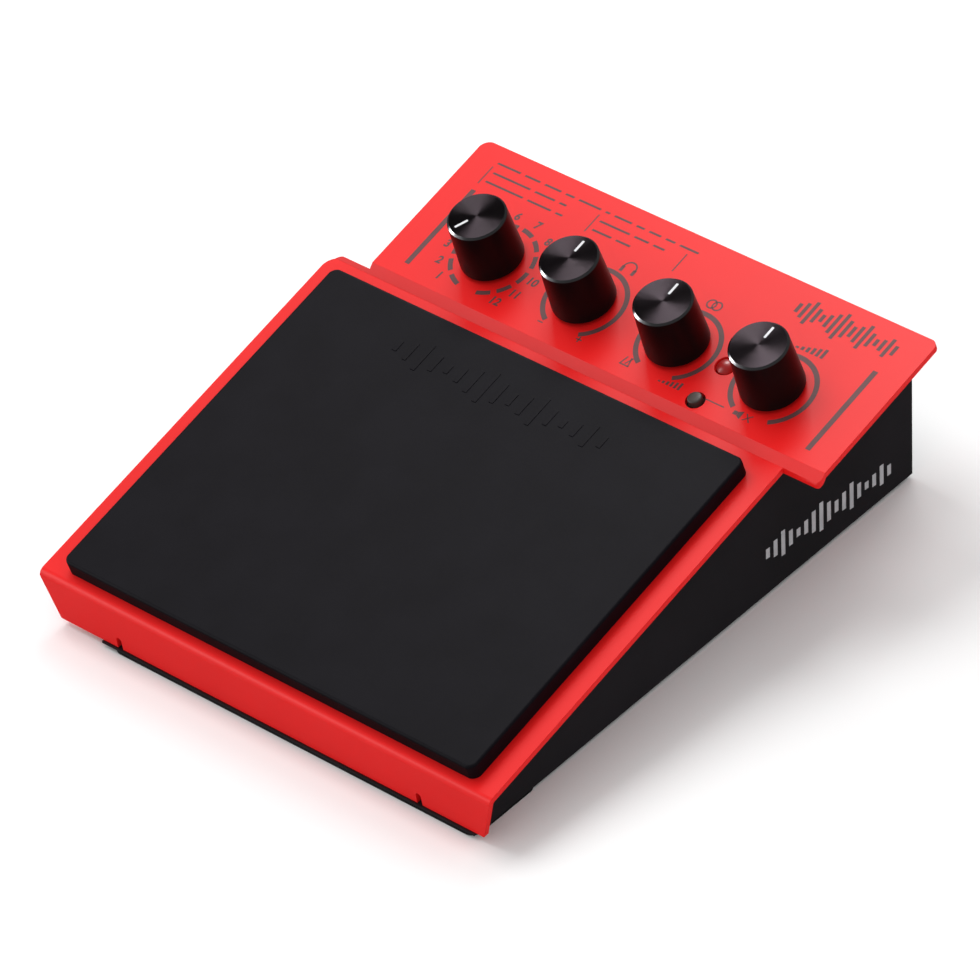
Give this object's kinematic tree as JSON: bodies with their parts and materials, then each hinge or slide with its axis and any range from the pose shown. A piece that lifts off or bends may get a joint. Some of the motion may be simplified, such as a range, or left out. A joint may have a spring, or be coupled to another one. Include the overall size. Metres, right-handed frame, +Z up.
{
  "type": "electronic drum pad",
  "caption": "Compact electronic drum pad: folded red sheet with a rubber striking surface, a raised control panel with rotary knobs and a push button, on a black wedge chassis.",
  "frame": {"origin": "centre of the bounding box's footprint, on the table", "axes": "+Z up, front lip towards -Y, rear sockets towards +Y, +X to the player's right"},
  "size_m": [0.16, 0.1692, 0.0655],
  "materials": {
    "red_paint": "satin powder coat",
    "pad_black": "matt",
    "case_black": "fine matt powder coat",
    "foot_rubber": "matt",
    "zinc_steel": "satin",
    "black_screw": "black zinc",
    "brass": "satin",
    "black_plastic": "matt",
    "cell_wrap": "gloss",
    "foam_grey": "matt foam",
    "lead_red": "satin",
    "board_green": "solder mask",
    "chip_black": "matt",
    "knob_black": "black anodised, spun top",
    "button_grey": "matt",
    "led_red": "clear tinted",
    "ribbon_grey": "satin",
    "white_plastic": "matt"
  },
  "bodies": {
    "case": {"top_cover": "red_paint", "pad_rubber": "pad_black", "chassis": "case_black", "front_foot": "foot_rubber", "rear_foot": "foot_rubber", "cover_posts": "zinc_steel", "base_screws": "black_screw", "clamp_bushes": "brass", "battery_tray": "black_plastic", "battery_cells": "cell_wrap", "battery_contacts": "zinc_steel", "sensor_foam": "foam_grey", "sensor_disc": "brass", "sensor_lead": "lead_red", "main_board": "board_green", "board_chips": "chip_black", "level_pots": "zinc_steel", "kit_selector": "zinc_steel", "control_washers": "zinc_steel", "control_nuts": "zinc_steel", "stop_switch": "black_plastic", "indicator_led": "led_red", "jack_board": "board_green", "jack_board_posts": "zinc_steel", "large_jacks": "black_plastic", "small_jacks": "black_plastic", "jack_nuts": "zinc_steel", "power_inlet": "black_plastic", "power_inlet_pin": "zinc_steel", "usb_socket": "zinc_steel", "usb_tongue": "white_plastic", "power_switch": "black_plastic", "ribbon_cable": "ribbon_grey", "ribbon_plugs": "white_plastic"},
    "selector": {"selector_knob": "knob_black", "selector_shaft": "zinc_steel"},
    "level_a": {"level_knob_a": "knob_black", "level_shaft_a": "zinc_steel"},
    "level_b": {"level_knob_b": "knob_black", "level_shaft_b": "zinc_steel"},
    "level_c": {"level_knob_c": "knob_black", "level_shaft_c": "zinc_steel"},
    "button": {"stop_button": "button_grey"},
    "slider": {"power_slider": "black_plastic"},
    "door": {"battery_door": "black_plastic"}
  },
  "joints": [
    {"name": "selector_turn", "type": "hinge", "parent": "case", "child": "selector", "pos_m": [-0.0393, 0.04306, 0.04792], "axis": [0, -0.2317, 0.9728], "range_deg": [-308, 0]},
    {"name": "level_turn_a", "type": "hinge", "parent": "case", "child": "level_a", "pos_m": [-0.0089, 0.04306, 0.04792], "axis": [0, -0.2317, 0.9728], "range_deg": [-150, 150]},
    {"name": "level_turn_b", "type": "hinge", "parent": "case", "child": "level_b", "pos_m": [0.0215, 0.04306, 0.04792], "axis": [0, -0.2317, 0.9728], "range_deg": [-150, 150]},
    {"name": "level_turn_c", "type": "hinge", "parent": "case", "child": "level_c", "pos_m": [0.0519, 0.04306, 0.04792], "axis": [0, -0.2317, 0.9728], "range_deg": [-150, 150]},
    {"name": "button_press", "type": "slide", "parent": "case", "child": "button", "axis": [0, 0.2317, -0.9728], "range_m": [0, 0.0004], "stiffness_N_per_m": 400, "springref_m": -0.0005},
    {"name": "power_slide", "type": "slide", "parent": "case", "child": "slider", "axis": [1, 0, 0], "range_m": [0, 0.0038]},
    {"name": "door_drop", "type": "slide", "parent": "case", "child": "door", "axis": [0, 0, -1], "range_m": [0, 0.012]}
  ]
}
